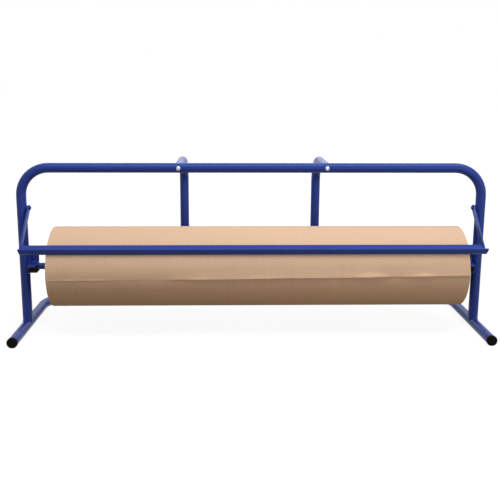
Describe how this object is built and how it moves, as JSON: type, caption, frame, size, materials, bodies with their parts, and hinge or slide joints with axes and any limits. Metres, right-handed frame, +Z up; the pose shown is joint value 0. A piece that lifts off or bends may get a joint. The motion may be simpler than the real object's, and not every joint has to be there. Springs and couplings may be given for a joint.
{
  "type": "wrapping paper roll stand with cutter bar",
  "caption": "Free-standing bent-tube counter stand that carries a wide roll of wrapping paper on a spindle, with a swinging cutter bar that rests on the roll to tear the sheet.",
  "frame": {"origin": "on the floor at the centre of the footprint", "axes": "+X to the right along the roll, +Y to the back, +Z up; the user stands on the -Y side"},
  "size_m": [1.438, 0.436, 0.522],
  "materials": {
    "blue_paint": "semi-gloss powder coat, deep blue",
    "zinc_steel": "bright zinc plate",
    "black_steel": "black oxide",
    "black_plastic": "moulded, fine texture",
    "kraft_paper": "brown kraft, faint ribs along the web",
    "core_board": "spiral wound board"
  },
  "bodies": {
    "stand": {"base_tube": "blue_paint", "top_frame_tube": "blue_paint", "rear_strut_left": "blue_paint", "rear_strut_right": "blue_paint", "roll_bracket_left": "blue_paint", "roll_bracket_right": "blue_paint", "pivot_stud_left": "blue_paint", "pivot_stud_right": "blue_paint", "pivot_washers": "blue_paint", "pivot_nuts": "blue_paint", "strut_screws": "zinc_steel", "strut_plugs": "zinc_steel", "saddle_screws": "zinc_steel", "keeper_pin_left": "zinc_steel", "keeper_pin_right": "zinc_steel", "foot_cap_left": "black_plastic", "foot_cap_right": "black_plastic", "spindle_saddle_left": "black_plastic", "spindle_saddle_right": "black_plastic"},
    "cutter": {"cutter_bar": "blue_paint", "cutter_arm_left": "blue_paint", "cutter_arm_right": "blue_paint"},
    "keeper_left": {"keeper_plate_left": "blue_paint", "keeper_rod_left": "black_steel", "keeper_grip_left": "black_plastic"},
    "keeper_right": {"keeper_plate_right": "blue_paint", "keeper_rod_right": "black_steel", "keeper_grip_right": "black_plastic"},
    "roll": {"spindle_tube": "blue_paint", "spindle_stub_left": "blue_paint", "spindle_stub_right": "blue_paint", "spindle_collar_left": "black_steel", "spindle_collar_right": "black_steel", "collar_screws": "zinc_steel", "core_plug_left": "black_plastic", "core_plug_right": "black_plastic", "core_tube": "core_board", "paper_roll": "kraft_paper", "paper_wrap": "kraft_paper"}
  },
  "joints": [
    {"name": "cutter_swing", "type": "hinge", "parent": "stand", "child": "cutter", "pos_m": [0, -0.053, 0.384], "axis": [-1, 0, 0], "range_deg": [0, 116]},
    {"name": "roll_spin", "type": "hinge", "parent": "stand", "child": "roll", "pos_m": [0, -0.053, 0.201], "axis": [1, 0, 0], "continuous": true},
    {"name": "keeper_left_lift", "type": "hinge", "parent": "stand", "child": "keeper_left", "pos_m": [-0.675, -0.043, 0.2105], "axis": [-1, 0, 0], "range_deg": [0, 97]},
    {"name": "keeper_right_lift", "type": "hinge", "parent": "stand", "child": "keeper_right", "pos_m": [0.675, -0.043, 0.2105], "axis": [-1, 0, 0], "range_deg": [0, 97]}
  ]
}
